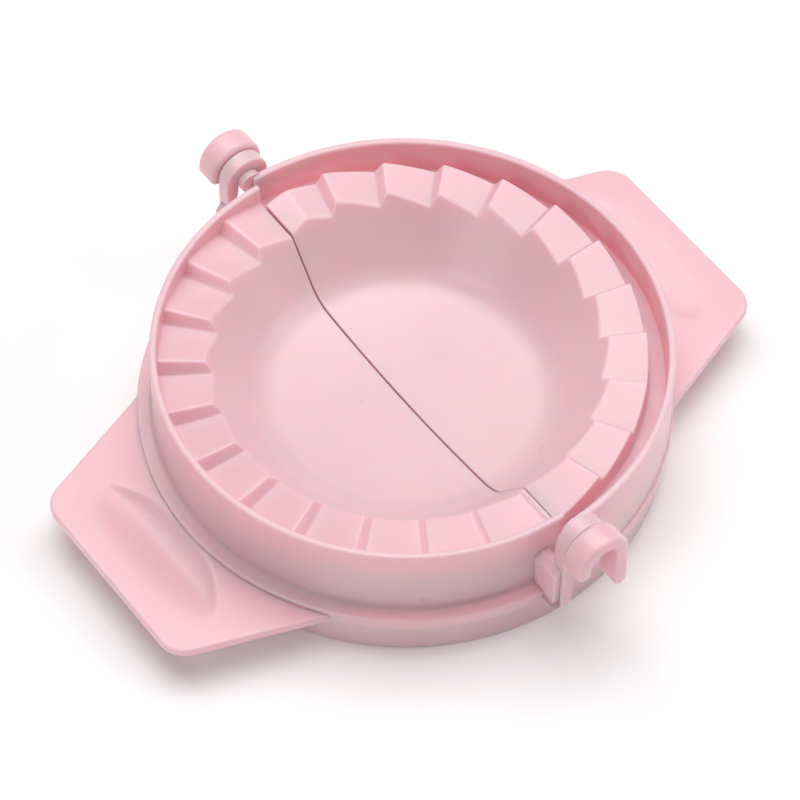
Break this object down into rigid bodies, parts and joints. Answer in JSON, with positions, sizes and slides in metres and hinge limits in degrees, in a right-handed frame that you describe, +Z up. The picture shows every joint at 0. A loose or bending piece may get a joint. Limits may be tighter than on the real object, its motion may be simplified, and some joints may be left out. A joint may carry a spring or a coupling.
{
  "type": "empanada press",
  "caption": "Hinged hand press for filled dough pockets: shallow bowl halves ringed by crimping teeth, with a nesting rim, snap hinge and flat thumb wings.",
  "frame": {"origin": "on the table under the centre of the open ring", "axes": "+Z up, Y along the hinge axis, +X from the hinge towards the base half's wing"},
  "size_m": [0.143, 0.1246, 0.0325],
  "materials": {
    "moulding": "smooth satin-gloss injection moulding, pale pink"
  },
  "bodies": {
    "base_half": {"base_half_with_hinge_pins": "moulding"},
    "folding_half": {"folding_half_with_hook_ears": "moulding"}
  },
  "joints": [
    {"name": "fold", "type": "hinge", "parent": "base_half", "child": "folding_half", "pos_m": [0, 0, 0.0265], "axis": [0, 1, 0], "range_deg": [0, 180]}
  ]
}
